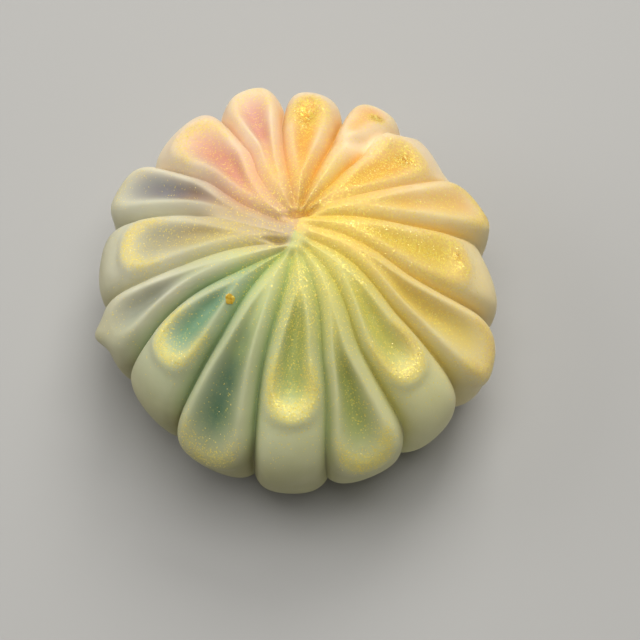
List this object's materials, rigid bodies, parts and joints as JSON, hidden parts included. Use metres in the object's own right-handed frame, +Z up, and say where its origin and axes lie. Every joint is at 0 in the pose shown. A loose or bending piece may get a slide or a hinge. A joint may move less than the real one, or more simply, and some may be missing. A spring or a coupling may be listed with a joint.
{
  "type": "chrysanthemum nerikiri wagashi",
  "caption": "Low dome of moulded sweet bean paste shaped as a chrysanthemum, with grooves fanning from the crown to the foot and a spoon-shaped hollow in each petal.",
  "frame": {"origin": "centre of the outline, on the flat foot that the sweet rests on", "axes": "+Z up through the crown, +Y towards the orange petal, +X towards the yellow petals"},
  "size_m": [0.0472, 0.05, 0.0261],
  "materials": {
    "paste": "satin, slightly translucent bean paste in blended pastel tints, dusted with gold"
  },
  "bodies": {
    "root": {"nerikiri_body": "paste"}
  },
  "joints": []
}
